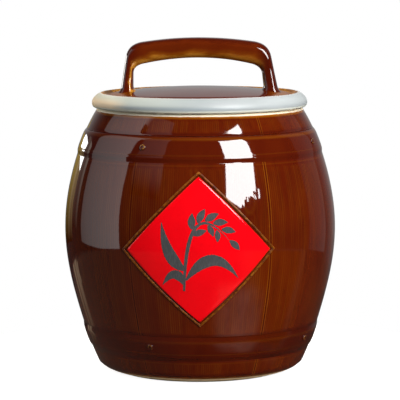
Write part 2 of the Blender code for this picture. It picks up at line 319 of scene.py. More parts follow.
def joint_offset(place):
    """Columns from the nearest stave joint, seen from above. A joint lies at 30 degrees."""
    column = column_of(place) % (COLUMNS // STAVES)
    return min(column, COLUMNS // STAVES - column)


def on_outside(place):
    return reach(place) > barrel_radius(place.z) - 0.002


def on_free_wall(place):
    """Whether a place is on the outside of the staves and clear of the hoops."""
    return on_outside(place) and any(low < place.z < high for low, high in FREE_BANDS)


edit(pot)
for offset, depth in JOINT_STEPS.items():
    pick(pot, lambda p: joint_offset(p) == offset and on_free_wall(p) and p.z < UPPER_HOOP[0])
    bpy.ops.transform.shrink_fatten(value=depth * MM)
mode("OBJECT")

# %% [markdown]
# ## Wood grain
#
# The grain is combed into the soft clay with a toothed tool: upright ridges about 2 mm
# apart, stronger and weaker along their length, with knots that they flow round. Every second
# column of the mesh becomes a ridge. Its strength is painted as a vertex weight, by which a
# Displace modifier lifts the clay a very little, and noted for the glaze, which breaks amber
# over exactly these ridges.

# %% Comb the grain
KNOTS = ((-1.5, 0.2178), (20.8, 0.187), (75.0, 0.135), (112.0, 0.195), (141.0, 0.082),
         (168.0, 0.150), (-158.0, 0.190), (-131.0, 0.095), (-104.0, 0.165), (-62.0, 0.112))
WALL_RADIUS = 0.137
KNOT_WIDTH = 0.0062
KNOT_HEIGHT = 0.0150
RELIEF = 0.00014
RIDGE_SHARE = 0.12


def knot_place(place, angle, height):
    """Place seen from a knot: across and up, in sizes of the knot."""
    turn = math.atan2(place.x, -place.y) - math.radians(angle)
    turn = (turn + math.pi) % (2 * math.pi) - math.pi
    return turn * WALL_RADIUS / KNOT_WIDTH, (place.z - height) / KNOT_HEIGHT


def tone(place, ridge=1.0):
    """From 0 in the grooves of the comb to 1 on a strong ridge or on a ring of a knot."""
    if not on_free_wall(place):
        return 0.0
    for angle, height in KNOTS:
        away = math.hypot(*knot_place(place, angle, height))
        if away < 1:
            return 0.5 + 0.5 * math.cos(away * 3.0 * math.pi)
    column = column_of(place)
    if column % 2 == 0 or joint_offset(place) < 3:
        return 0.0
    per_ridge = noise.noise(Vector((column * 0.731, 0.0, 0.0)))
    along = noise.noise(Vector((column * 0.211, place.z * 22, 4.0)))
    return max(0.08, min(1.0, 0.48 + 0.75 * per_ridge + 0.55 * along)) * ridge


note(pot, "grain", tone)
note(pot, "outside", on_outside)
weigh(pot, "ridges", lambda p: tone(p, RIDGE_SHARE))
apply_modifier(pot, "DISPLACE", vertex_group="ridges", strength=RELIEF, mid_level=0.0)

# %% [markdown]
# The lines flow round a knot like water round a stone: the vertices beside it are moved apart
# by amounts that fade with distance. Then a broad, very low cloud texture unsettles the wall
# by a tenth of a millimetre, because no glaze lies perfectly flat. The foot stays flat.

# %% Part the grain at the knots and unsettle the glaze
KNOT_PUSH = 0.0026
FOOT_FADE = 0.015


def part_grain(piece):
    for vert in piece.data.vertices:
        if not on_free_wall(vert.co):
            continue
        for angle, height in KNOTS:
            across, up = knot_place(vert.co, angle, height)
            if abs(across) < 6 and abs(up) < 3 and joint_offset(vert.co) > 3:
                fade = math.exp(-((across / 2.2) ** 2) - (up / 1.1) ** 2)
                push = KNOT_PUSH * math.tanh(across * 1.5) * fade
                radius = reach(vert.co)
                turn = math.atan2(vert.co.y, vert.co.x) + push / radius
                vert.co.x = radius * math.cos(turn)
                vert.co.y = radius * math.sin(turn)


def unsettle(piece, depth, size, group=""):
    """Displace a piece by a smooth cloud texture, as a layer of glaze does."""
    clouds = bpy.data.textures.new(piece.name + "_flow", "CLOUDS")
    clouds.noise_scale = size
    clouds.noise_depth = 1
    apply_modifier(piece, "DISPLACE", texture=clouds, texture_coords="LOCAL",
                   strength=depth, mid_level=0.5, vertex_group=group)


part_grain(pot)
weigh(pot, "wall", lambda p: min(1.0, p.z / FOOT_FADE))
unsettle(pot, 0.00012, 0.030, "wall")
finish_piece(pot)

# %% [markdown]
# ## Hoops
#
# The hoops are bands of clay: a flat face over a soft slope with a faint step in it, and a
# rounded shoulder above, which is softer on the lower hoop. Points are (up from the hoop's
# lower edge, out from the staves) in millimetres. The clay round a nail head was pushed up
# when the nail was pressed on, so the face swells there.

# %% Hoops
HOOP_BACK = ((25.2, -0.85), (17.0, -0.85), (9.0, -0.85), (0.3, -0.85), (-0.5, -0.35))
HOOP_FACE = (
    (-0.9, -0.05), (-0.4, 0.04), (0.5, 0.20), (1.6, 0.52), (2.5, 0.83), (3.2, 1.08), (3.8, 1.24),
    (4.8, 1.33), (5.9, 1.36), (6.3, 1.40), (6.8, 1.5), (7.6, 1.54), (10.0, 1.55), (15.0, 1.55),
)
SHOULDERS = {
    "upper": ((19.5, 1.52), (21.4, 1.43), (22.7, 1.25), (23.7, 0.96), (24.5, 0.58), (25.0, 0.14),
              (25.3, -0.3)),
    "lower": ((18.5, 1.50), (19.8, 1.36), (21.0, 1.10), (22.2, 0.79), (23.4, 0.49), (24.5, 0.23),
              (25.4, 0.05)),
}
NAIL_ANGLES = {"upper": (-27.4, 68.0, 158.0, -117.0), "lower": (-24.7, 62.0, 154.0, -116.0)}
NAIL_HEIGHTS = {"upper": 0.2397, "lower": 0.0398}
NAIL_SWELL = 0.00030
SWELL_WIDTH = 0.0062


def round_jar(angle, radius, height):
    """A place by its angle from the front, distance from the axis and height."""
    turn = math.radians(angle)
    return Vector((radius * math.sin(turn), -radius * math.cos(turn), height))


def swell_at_nails(piece, hoop):
    """Push the face of a hoop outwards round its nails, fading with distance."""
    height = NAIL_HEIGHTS[hoop]
    for angle in NAIL_ANGLES[hoop]:
        nail = round_jar(angle, barrel_radius(height), height)
        for vert in piece.data.vertices:
            away = (vert.co - nail).length / SWELL_WIDTH
            if away < 2.5 and on_outside(vert.co):
                outward = Vector((vert.co.x, vert.co.y, 0)).normalized()
                vert.co += outward * NAIL_SWELL * math.exp(-away * away)


def make_hoop(hoop, base):
    section = []
    for up, out in HOOP_FACE + SHOULDERS[hoop] + HOOP_BACK:
        height = base + up * MM
        section.append((barrel_radius(height) + out * MM, height))
    piece = lathe(hoop + "_band", section, 360, closed=True)
    swell_at_nails(piece, hoop)
    unsettle(piece, 0.00012, 0.030)
    return finish_piece(piece)


upper_band = make_hoop("upper", UPPER_HOOP[0])
lower_band = make_hoop("lower", LOWER_HOOP[0])

# %% [markdown]
# ## Nail heads
#
# Four nail heads are pressed on each hoop. One is modelled: a short cylinder whose top is
# inset, raised to a low dome and dimpled in the middle, softened by a subdivision surface. It
# is copied to the other places, each copy with its own mesh, square on the sloping wall.

# %% Nail heads
NAIL_RADIUS = 0.0034
NAIL_DEPTH = 0.0012
NAIL_STAND = 0.00175
NAIL_RINGS = ((0.0009, 0.0004), (0.0010, 0.0002), (0.0005, -0.0005))


def make_nail():
    cylinder = bpy.ops.mesh.primitive_cylinder_add
    piece = add(cylinder, "nail", vertices=20, radius=NAIL_RADIUS, depth=NAIL_DEPTH)
    mode("EDIT")
    for width, rise in NAIL_RINGS:
        verts = bmesh.from_edit_mesh(piece.data).verts
        top = max(vert.co.z for vert in verts)
        inner = min(reach(vert.co) for vert in verts if vert.co.z > top - 0.01 * MM)
        pick(piece, lambda p: p.z > 0 and reach(p) < inner + 0.01 * MM)
        bpy.ops.mesh.inset(thickness=width, depth=rise)
    mode("OBJECT")
    apply_modifier(piece, "SUBSURF", levels=2, render_levels=2)
    note(piece, "ring", lambda p: reach(p) / NAIL_RADIUS)
    return piece


def set_nail(name, angle, height):
    """Copy the nail and stand it on the face of a hoop, pointing outwards."""
    piece = copy_of(first_nail)
    piece.name = piece.data.name = name
    slope = (barrel_radius(height + MM) - barrel_radius(height - MM)) / (2 * MM)
    piece.location = round_jar(angle, barrel_radius(height) + NAIL_STAND, height)
    piece.rotation_euler = round_jar(angle, 1, -slope).to_track_quat("Z", "Y").to_euler()
    return finish_piece(piece)


first_nail = make_nail()
nails = [
    set_nail(f"nail_{hoop}_{number}", angle, NAIL_HEIGHTS[hoop])
    for hoop, angles in NAIL_ANGLES.items()
    for number, angle in enumerate(angles, 1)
]
bpy.data.objects.remove(first_nail)

# %% [markdown]
# ## The diamond tile
#
# A slab of clay cut to a diamond, its corners just short of two stave joints, is bent round
# the barrel and glazed red. It starts as a plane in front of the jar, whose corners are moved
# to their places: top, left, bottom and right. It is inset along its edge and subdivided
# finely, and its sides are bowed outwards by 2 mm. A Shrinkwrap modifier projects it straight
# back onto a plain former, because a slab follows a smooth wall and not the combed grain.
# Solidify thickens it, and a vertex group makes it thinner, and so softer, along the edge.
# Bevel rounds the rest.

# %% Former and diamond
FRONT = -0.18
TILE_CORNERS = ((-0.0014, 0.2120), (-0.0716, 0.1395), (-0.0006, 0.0680), (0.0680, 0.1402))
TILE_MIDDLE = (-0.0018, 0.1400)
TILE_HALF = (0.0698, 0.0720)
MIDDLE_TO_SIDE = 0.050
TILE_SINK = 0.0003
TILE_THICKNESS = 0.0019
SIDE_BOW = 0.0019
SOFT_EDGE = 0.0015
EDGE_SHARE = 0.78

former = lathe(
    "former", [(barrel_radius(z) - TILE_SINK, z) for z in spread(0.052, 0.224, 60)], 360
)


def upright_plane(name, size, height):
    """A plane that stands upright in front of the jar."""
    piece = add(bpy.ops.mesh.primitive_plane_add, name, size=size,
                location=(0, FRONT, height), rotation=(math.pi / 2, 0, 0))
    bpy.ops.object.transform_apply(location=True, rotation=True)
    return piece


def flat_shape(name, corners):
    """A plane in front of the jar, open in edit mode, with (across, height) corners."""
    piece = upright_plane(name, 0.1, 0.14)
    mode("EDIT")
    for number, (across, height) in zip((2, 0, 1, 3), corners):
        select_all("DESELECT")
        mesh = bmesh.from_edit_mesh(piece.data)
        mesh.verts.ensure_lookup_table()
        corner = mesh.verts[number]
        corner.select = True
        mesh.select_flush(True)
        bmesh.update_edit_mesh(piece.data)
        move(Vector((across, FRONT, height)) - corner.co)
    select_all()
    return piece


def project_on(piece, target):
    """Push a flat shape straight back until it lies on the target."""
    apply_modifier(
        piece, "SHRINKWRAP", target=target, wrap_method="PROJECT",
        use_project_x=False, use_project_y=True, use_project_z=False,
        use_positive_direction=True, use_negative_direction=False,
    )


def diamond_place(place):
    """Place from the middle of the diamond in half widths, whose sizes add up to 1 at a side."""
    return ((place.x - TILE_MIDDLE[0]) / TILE_HALF[0], (place.z - TILE_MIDDLE[1]) / TILE_HALF[1])


def bow_sides(piece):
    """Move the sides of the flat diamond outwards, most in their middle."""
    for vert in piece.data.vertices:
        across, up = diamond_place(vert.co)
        vert.co.x += SIDE_BOW * 4 * across * abs(up) / math.sqrt(2)
        vert.co.z += SIDE_BOW * 4 * up * abs(across) / math.sqrt(2)


def slab_share(place):
    """Share of the slab's thickness, which falls off in a curve towards the sides."""
    to_side = (1 - sum(map(abs, diamond_place(place)))) * MIDDLE_TO_SIDE
    fall = max(0.0, 1 - to_side / SOFT_EDGE)
    return 1 - (1 - EDGE_SHARE) * fall * fall


tile = flat_shape("tile", TILE_CORNERS)
bpy.ops.mesh.inset(thickness=SOFT_EDGE)
select_all()
bpy.ops.mesh.subdivide(number_cuts=40)
mode("OBJECT")
weigh(tile, "slab", slab_share)
bow_sides(tile)
project_on(tile, former)
apply_modifier(tile, "SOLIDIFY", thickness=TILE_THICKNESS, offset=1.0, vertex_group="slab")
apply_modifier(tile, "BEVEL", width=0.0005, segments=3, angle_limit=math.radians(42))
unsettle(tile, 0.00016, 0.022)
clean_up(tile)
finish_piece(tile)

# %% [markdown]
# ## The bead round the tile
#
# A thin roll of clay frames the tile, 1.9 mm clear of it. The same flat diamond is made
# larger, inset to a narrow ring and its middle deleted. Its long edges are subdivided, and it
# is bowed, projected, thickened and rounded in the same way as the tile.

# %% Frame bead
BEAD_GAP = 0.0019
BEAD_WIDTH = 0.0019
BEAD_THICKNESS = 0.0013


def grown(by):
    """The tile's corners moved outwards so that its sides move out by that much."""
    by *= math.sqrt(2)
    outwards = ((0, by), (-by, 0), (0, -by), (by, 0))
    return [(x + dx, z + dz) for (x, z), (dx, dz) in zip(TILE_CORNERS, outwards)]


bead = flat_shape("tile_bead", grown(BEAD_GAP + BEAD_WIDTH))
bpy.ops.mesh.inset(thickness=BEAD_WIDTH)
bpy.ops.mesh.delete(type="FACE")
select_all("DESELECT")
mesh = bmesh.from_edit_mesh(bead.data)
for edge in mesh.edges:
    edge.select = edge.calc_length() > 0.02
bmesh.update_edit_mesh(bead.data)
bpy.ops.mesh.subdivide(number_cuts=47)
mode("OBJECT")
bow_sides(bead)
project_on(bead, former)
apply_modifier(bead, "SOLIDIFY", thickness=BEAD_THICKNESS, offset=1.0)
apply_modifier(bead, "BEVEL", width=0.0009, segments=4, angle_limit=math.radians(50))
clean_up(bead)
finish_piece(bead)

# %% [markdown]
# ## Painted rice ear
#
# The tile is painted with an ear of rice, a traditional sign of plenty: a bowed stem, three
# leaves and drooping grains. Each brush stroke is a narrow grid, made row by row: a row is
# pushed along the stroke and scaled to the brush's pressure. A stroke is (start, corner, end)
# of a curve. One grain is copied to places counted along the stem and to its tip.

# %% Brush strokes
BRUSH_ROWS = 14
STEM = ((-0.016, 0.100), (-0.014, 0.203), (0.029, 0.150))
STEM_PLACES = 90
GRAIN = ((0, 0), (0.0075, 0.0014), (0.0150, 0.0))
LEAVES = (
    ((-0.014, 0.121), (-0.034, 0.130), (-0.038, 0.168), 0.0118),
    ((-0.014, 0.111), (0.012, 0.150), (0.037, 0.113), 0.0118),
    ((-0.015, 0.105), (-0.024, 0.128), (-0.037, 0.106), 0.0095),
)
GRAINS = (
    {"side": 1, "places": (41, 51, 61, 71, 81), "spread": 33, "size": 1.17},
    {"side": -1, "places": (36, 66, 78), "spread": 46, "size": 1.02},
)
GRAIN_GAP = 0.0018


def pressure(full, start=0.15, peak=0.4):
    """Widths of a stroke that swells to full at its peak and ends in a point."""
    widths = []
    for t in spread(0.0, 1.0, BRUSH_ROWS):
        rise = min(1.0, t / peak)
        fall = max(0.0, (t - peak) / (1 - peak))
        swell = (start + (1 - start) * math.sin(rise * math.pi / 2)) * (1 - fall**1.8)
        widths.append(full * max(swell, 0.04))
    return widths


def stroke(name, spine, widths):
    """A brush stroke: a grid whose rows follow the spine and have the widths given."""
    piece = upright_plane(name, 1.0, 0)
    mode("EDIT")
    pick(piece, lambda p: p.z > 0)
    bpy.ops.mesh.delete(type="VERT")
    select_all()
    bpy.ops.mesh.subdivide(number_cuts=3)
    points = [Vector((x, FRONT, z)) for x, z in bend(*spine, BRUSH_ROWS)]
    before = Vector((0, FRONT, -0.5))
    width = 1.0
    heading = math.pi / 2
    for row, point in enumerate(points):
        move(point - before, extrude=row > 0)
        ahead = points[min(row + 1, BRUSH_ROWS)] - points[max(row - 1, 0)]
        turn = math.atan2(ahead.z, ahead.x)
        bpy.ops.transform.rotate(value=turn - heading, orient_axis="Y", center_override=point)
        bpy.ops.transform.resize(value=(widths[row] / width,) * 3, center_override=point)
        before, width, heading = point, widths[row], turn
    mode("OBJECT")
    return piece


def copy_grain(place, heading, size):
    """Copy the grain to a place, pointing along a heading in degrees from the right."""
    piece = copy_of(grain)
    piece.rotation_euler.y = -math.radians(heading)
    piece.scale = (size, 1.0, size)
    piece.location = (place[0], 0.0, place[1])
    bpy.ops.object.transform_apply(location=True, rotation=True, scale=True)
    return piece


strokes = [stroke("stem", STEM, pressure(0.0036, 0.6, 0.3))]
strokes += [stroke("leaf", spine, pressure(width)) for *spine, width in LEAVES]
grain = stroke("grain", GRAIN, pressure(0.0072, 0.25, 0.45))
stem = bend(*STEM, STEM_PLACES)
for row in GRAINS:
    for place in row["places"]:
        (x0, z0), (x1, z1) = stem[place - 1], stem[place + 1]
        heading = math.degrees(math.atan2(z1 - z0, x1 - x0))
        out = math.radians(heading + 90 * row["side"])
        base = (x0 + GRAIN_GAP * math.cos(out), z0 + GRAIN_GAP * math.sin(out))
        size = row["size"] - 0.003 * place
        strokes.append(copy_grain(base, heading + row["spread"] * row["side"], size))
strokes.append(copy_grain(stem[-1], heading - 4, 0.9))
bpy.data.objects.remove(grain)

# %% [markdown]
# The strokes are joined to one piece, projected on the tile, and get the thickness of a heavy
# enamel.

# %% Lay the paint on the tile
ENAMEL_THICKNESS = 0.00022

activate(*strokes)
bpy.ops.object.join()
paint = strokes[0]
paint.name = paint.data.name = "painted_rice_ear"
edit(paint)
bpy.ops.mesh.remove_doubles(threshold=0.01 * MM)
mode("OBJECT")
project_on(paint, tile)
apply_modifier(paint, "SOLIDIFY", thickness=ENAMEL_THICKNESS, offset=0.6)
clean_up(paint)
finish_piece(paint)
bpy.data.objects.remove(former)

# %% [markdown]
# ## The lid
#
# The lid is one casting: a thick rolled rim, a narrow gutter inside it, a low crown, and
# underneath a ring that drops into the mouth. The crown is a shallow parabola, and the plate
# under it keeps its thickness. Points are (radius, height) in millimetres, from the top of
# the crown round to the underside.

# %% Lid
CROWN_TOP = 292.45
CROWN_RISE = 5.7
CROWN_RADIUS = 88.0
PLATE = 7.5
RIM_SECTION = (
    (90.4, 286.2), (92.4, 285.35), (94.2, 284.4), (95.8, 283.98), (97.2, 283.98),
    (98.5, 284.3), (99.4, 285.0), (99.95, 285.9), (100.5, 286.7), (101.3, 287.1),
    (102.2, 287.1), (103.4, 286.65), (105.0, 285.75), (106.8, 284.4), (108.5, 282.7),
    (109.8, 281.0), (110.6, 279.3), (110.95, 277.7), (110.95, 276.4), (110.8, 275.2),
    (110.4, 274.1), (109.8, 273.2), (108.9, 272.55), (107.7, 272.2), (103.6, 272.1),
    (102.2, 271.3), (101.0, 270.4), (98.9, 270.3), (96.9, 270.2), (96.6, 269.6),
    (96.6, 260.0), (96.3, 258.9), (95.6, 258.4), (93.2, 258.4), (92.2, 258.9),
    (91.7, 260.0), (91.7, 274.5), (91.0, 277.2), (89.2, 278.7),
)


def crown(radius):
    """Height of the crown in millimetres, at a distance from the middle."""
    return CROWN_TOP - CROWN_RISE * (radius / CROWN_RADIUS) ** 2


lid_section = [(r, crown(r)) for r in spread(0.0, CROWN_RADIUS, 11)]
lid_section += RIM_SECTION
lid_section += [(r, crown(r) - PLATE) for r in spread(86.0, 0.0, 6)]
lid_body = lathe("lid_casting", [(r * MM, z * MM) for r, z in lid_section], 360)
unsettle(lid_body, 0.00020, 0.035)
finish_piece(lid_body, 60)

# %% [markdown]
# ## The handle
#
# The handle is a thick strap of clay, bent to a bridge and stuck on the crown by its flared
# feet. From the front it lies between an outer and an inner edge: a flat curve along the bar,
# a bend at the corner, a straight leg and a flare at the foot. It was set by hand, so it
# leans a little to the left and its right leg is the thicker one.

# %% Handle edges
HANDLE_TOP = 343.2
HANDLE_DEPTH = 27.0
HANDLE_LEAN = 0.030
BAR_THICKNESS = 20.5
FOOT_SINK = 0.4
FLARE_HEIGHT = 6.5
SKIRT_HEIGHT = 30.0
FLARE_SIDE = 4.5
OUTER = {
    "foot": 85.0, "leg": 80.2, "corner": (72.3, 336.2), "shoulder": (58.0, 338.8), "fall": 12.2,
}
LEFT_INNER = {
    "foot": 64.8, "leg": 67.8, "corner": (66.6, 314.3), "shoulder": (57.0, 316.6), "fall": 7.3,
}
RIGHT_INNER = {
    "foot": 63.6, "leg": 66.1, "corner": (65.0, 312.9), "shoulder": (56.0, 315.9), "fall": 7.3,
}


def edge_of_handle(top, form):
    """Half an edge, from the middle of the bar down to the foot, as (across, height)."""
    half, level = form["shoulder"]
    corner = form["corner"]
    leg_foot = (form["leg"], crown(OUTER["foot"]) + FLARE_HEIGHT)
    lean = (leg_foot[0] - corner[0]) / (corner[1] - leg_foot[1])

    def on_leg(height):
        return (leg_foot[0] + lean * (leg_foot[1] - height), height)

    leg_top = on_leg(corner[1] - form["fall"])
    foot = (form["foot"], crown(form["foot"]) - FOOT_SINK)
    points = [(half * t, top + (level - top) * t * t) for t in spread(0.0, 1.0, 8)]
    points += bend(form["shoulder"], corner, leg_top, 8)[1:]
    points += [on_leg(z) for z in spread(leg_top[1], leg_foot[1], 4)[1:]]
    return points + bend(leg_foot, on_leg(foot[1] + 2.2), foot, 6)[1:]


# %% [markdown]
# The strap's section is drawn once, as a square with strongly rounded corners, and extruded
# from place to place along the bridge. At each it is turned back upright, scaled, and turned
# to face along the strap. Scaling it while it is upright keeps the section free of shear.

# %% Handle
SECTION_ROUNDING = 0.66


def rounded_section(name):
    """A closed ring, 2 mm by 2 mm, with rounded corners, lying flat."""
    piece = add(bpy.ops.mesh.primitive_plane_add, name, size=2 * MM)
    edit(piece)
    bpy.ops.mesh.bevel(offset=SECTION_ROUNDING * MM, segments=7, affect="VERTICES")
    select_all()
    bpy.ops.mesh.delete(type="ONLY_FACE")
    select_all()
    return piece


def turn_ring(angle, centre):
    """Turn the selected ring in the plane of the bridge. Rotate runs backwards here."""
    bpy.ops.transform.rotate(value=angle, orient_axis="Y", center_override=centre)


def make_handle():
    """Sweep the section along the bridge, from the left foot to the right one."""
    outer = edge_of_handle(HANDLE_TOP, OUTER)
    left, right = (
        list(zip(outer, edge_of_handle(HANDLE_TOP - BAR_THICKNESS, inner)))
        for inner in (LEFT_INNER, RIGHT_INNER)
    )
    stations = [((-o[0], o[1]), (-i[0], i[1])) for o, i in reversed(left[1:])] + right
    piece = rounded_section("handle")
    centre = Vector((0, 0, 0))
    thickness, depth, heading = 2.0, 2.0, 0.0
    for number, ((ox, oz), (ix, iz)) in enumerate(stations):
        lean = HANDLE_LEAN * ((oz + iz) / 2 - crown(OUTER["foot"]))
        goal = Vector(((ox + ix) / 2 - lean, 0, (oz + iz) / 2)) * MM
        move(goal - centre, extrude=number > 0)
        spreading = max(0.0, 1 - (oz - crown(OUTER["foot"])) / SKIRT_HEIGHT) ** 2
        new_thickness = math.hypot(ox - ix, oz - iz)
        new_depth = HANDLE_DEPTH + 2 * FLARE_SIDE * spreading
        turn_ring(-heading, goal)
        bpy.ops.transform.resize(
            value=(new_thickness / thickness, new_depth / depth, 1), center_override=goal
        )
        heading = math.atan2(oz - iz, ox - ix)
        turn_ring(heading, goal)
        centre, thickness, depth = goal, new_thickness, new_depth
    select_all()
    bpy.ops.mesh.fill_holes(sides=0)
    mode("OBJECT")
    return piece


handle = make_handle()
clean_up(handle, 0.01 * MM)
unsettle(handle, 0.00025, 0.02)
finish_piece(handle, 50)

# %% [markdown]
# ## Writing glazes as sums
#
# A material is a net of nodes. `Wire` stands for one value in it, and adding or multiplying
# wires adds the Math nodes, so a mask reads like ordinary arithmetic. `Net.node` adds every
# other kind of node. A glaze is built up in coats: each is a share, where 1 covers
# everything, and a colour.


# %% Wires and glazes
def arithmetic(operation, swapped=False):
    def method(self, other=None):
        values = (other, self) if swapped else (self, other)
        return self.net.node("Math", dict(enumerate(values)), operation=operation)
    return method


class Wire:
    """One value in a net of nodes."""

    def __init__(self, net, socket):
        self.net = net
        self.socket = socket

    __add__ = __radd__ = arithmetic("ADD")
    __mul__ = __rmul__ = arithmetic("MULTIPLY")
    __sub__ = arithmetic("SUBTRACT")
    __rsub__ = arithmetic("SUBTRACT", swapped=True)
    __truediv__ = arithmetic("DIVIDE")
    __abs__ = arithmetic("ABSOLUTE")
    larger = arithmetic("MAXIMUM")
    smaller = arithmetic("MINIMUM")
    angle_from = arithmetic("ARCTAN2")
    fold = arithmetic("PINGPONG")

    def step(self, low, high):
        """0 below low, 1 above high, smooth in between. Low may be the larger one."""
        sockets = {"Value": self, "From Min": low, "From Max": high}
        return self.net.node("MapRange", sockets, interpolation_type="SMOOTHSTEP")

    def line(self, middle, half_width):
        """1 at the middle, fading to 0 at half a width either side."""
        return abs(self - middle).step(half_width, 0.0)


class Net:
    """The nodes of a material or of the world."""

    def __init__(self, tree):
        self.tree = tree

    def plug(self, value, node, socket):
        if isinstance(value, Wire):
            self.tree.links.new(value.socket, node.inputs[socket])
        elif value is not None:
            node.inputs[socket].default_value = value

    def node(self, kind, sockets=None, output=0, **settings):
        """Add a node, set it, fill its sockets and return one of its outputs."""
        made = self.tree.nodes.new("ShaderNode" + kind)
        for name, value in settings.items():
            setattr(made, name, value)
        for socket, value in (sockets or {}).items():
            self.plug(value, made, socket)
        return Wire(self, made.outputs[output])

    def axes(self, wanted="XYZ", where="Object"):
        """Coordinates along the axes wanted."""
        place = self.node("TexCoord", output=where)
        return [self.node("SeparateXYZ", {0: place}, axis) for axis in wanted]

    def noted(self, name):
        """A value that was noted at the vertices."""
        return self.node("Attribute", None, "Fac", attribute_name=name)

    def mix(self, share, first, second):
        """Mixes two colours, or changes first towards second by share."""
        first, second = ((*c, 1.0) if isinstance(c, tuple) else c for c in (first, second))
        return self.node("Mix", {0: share, 6: first, 7: second}, 2, data_type="RGBA")

    def coats(self, colour, *layers):
        """Lay (share, colour) layers over a colour, one after the other."""
        for share, over in layers:
            colour = self.mix(share, colour, over)
        return colour

    def clouds(self, size, stretch=(1, 1, 1), detail=3.0, where="Object"):
        """Noise from 0 to 1 with features of that size in metres, stretched along an axis."""
        place = self.node("TexCoord", output=where)
        scaled = self.node("Mapping", {"Vector": place, "Scale": stretch})
        return self.node("TexNoise", {"Vector": scaled, "Scale": 1 / size, "Detail": detail})

    def shine(self, wire):
        """Show a shader as the material's surface."""
        self.plug(wire, self.tree.nodes["Material Output"], "Surface")


class Glaze(Net):
    """A glossy material."""

    def __init__(self, name, roughness=0.04, ior=1.6):
        self.material = bpy.data.materials.new(name)
        self.material.use_nodes = True
        super().__init__(self.material.node_tree)
        self.put("Roughness", roughness)
        self.put("IOR", ior)

    def put(self, name, value):
        self.plug(value, self.tree.nodes["Principled BSDF"], name)

    def fire(self, colour, height=None, depth=0.00001):
        """Put on the colour, and a height from 0 to 1 as relief of that depth in metres."""
        self.put("Base Color", colour)
        if height:
            self.put("Normal", self.node("Bump", {"Height": height, "Distance": depth}))
        return self.material


# %% [markdown]
# ## Brown glaze
#
# The brown is an iron glaze. Where it lies thick, in grooves and on flat faces, it is a deep
# red brown. Where it runs thin over an edge the light comes back through it amber, and gold
# where it has nearly run off. Every brown piece has these colours, and only the masks differ.
# Some masks also use them for painted light and shade.

# %% Brown glaze colours
BROWN = (0.082, 0.0056, 0.0005)
DEEP = (0.048, 0.0036, 0.0007)
AMBER = (0.290, 0.085, 0.003)
ORANGE = (0.190, 0.033, 0.0012)
GOLD = (0.620, 0.290, 0.035)
CLAY = (0.930, 0.800, 0.600)
# paler clay, painted light for the left of the mouth
PAINTED_LIT_CLAY = (1.000, 0.930, 0.760)
FOOT_CLAY = (1.000, 0.760, 0.450)


def brown_base(glaze):
    """The body of the glaze: slow clouds of thicker and thinner glaze, and runs down the wall.
    """
    slow = glaze.clouds(0.055)
    runs = glaze.clouds(0.012, (1, 1, 0.12), 4.0)
    fine = glaze.clouds(0.0016, (1, 1, 0.5), 2.0)
    deep_share = (slow * 0.6 + runs * 0.3 + fine * 0.1).step(0.62, 0.36)
    return glaze.mix(deep_share, glaze.mix(0.12, BROWN, ORANGE), glaze.mix(0.22, BROWN, DEEP))


# %% [markdown]
# The pot's glaze reads the noted grain for its amber lines. The stave joints are found from
# the angle round the jar: dark in the bottom of the groove and amber on both lips. At the
# mouth the glaze is wiped off the edge, which leaves a line of bare clay with amber under
# it, and at the foot it stops short of the ring the jar stands on.

# %% Pot glaze
STAVE_ANGLE = 2 * math.pi / STAVES
STAVE_WIDTH = STAVE_ANGLE * WALL_RADIUS
AMBER_EDGES = (LOWER_HOOP[0] - 0.003, UPPER_HOOP[0] - 0.003)
DARK_GROOVES = (LOWER_HOOP[1] + 0.0012, UPPER_HOOP[1] + 0.0014)


def pot_glaze():
    glaze = Glaze("pot_glaze")
    x, y, z = glaze.axes()
    grain, outside = glaze.noted("grain"), glaze.noted("outside")
    above = z.step(*UPPER_HOOP) * x.step(0.0, 0.01)
    around = x.angle_from(y * -1.0) - above * 0.036
    to_joint = (around / STAVE_ANGLE + 0.5).fold(0.5) * STAVE_WIDTH
    patches = glaze.clouds(0.030, (1, 1, 0.4)).step(0.32, 0.66)
    combed = glaze.clouds(0.0032, (1, 1, 0.04), 2.0).step(0.50, 0.66)
    lips = to_joint.line(0.0014, 0.0007) * (0.22 + 0.32 * x.step(-0.05, 0.05))
    ragged = z + (glaze.clouds(0.009) - 0.5) * 0.0006
    bare_lip = ragged.step(0.2690, 0.2697)
    bare_foot = ragged.step(0.0060, 0.0048)
    # painted light: the bare clay at the mouth is painted paler towards the left
    clay = glaze.mix(x.step(0.060, -0.040), CLAY, PAINTED_LIT_CLAY)
    colour = glaze.coats(
        brown_base(glaze),
        # painted shade: the left side of the pot is darkened towards its edge
        (x.step(0.0, -0.115) * 0.6, DEEP),
        (combed * outside * 0.30, DEEP),
        (grain * (0.09 + 0.14 * patches), AMBER),
        # the amber on the joint lips is painted fainter on the shaded left
        (lips * outside * (0.6 + 0.8 * patches), AMBER),
        (to_joint.step(0.0009, 0.0003) * outside * 0.7, DEEP),
        *((z.line(edge, 0.0013) * outside * 0.10, AMBER) for edge in AMBER_EDGES),
        *((z.line(groove, 0.0024) * outside * 0.6, DEEP) for groove in DARK_GROOVES),
        (ragged.step(0.2662, 0.2690) * 0.9, AMBER),
        (bare_lip, clay),
        (ragged.step(0.0085, 0.0060) * 0.7, AMBER),
        (bare_foot, FOOT_CLAY),
    )
    glaze.put("Roughness", bare_lip.larger(bare_foot) * 0.55 + 0.04)
    return glaze.fire(colour, glaze.clouds(0.0012, (1, 1, 0.35), 2.0), 0.000002)
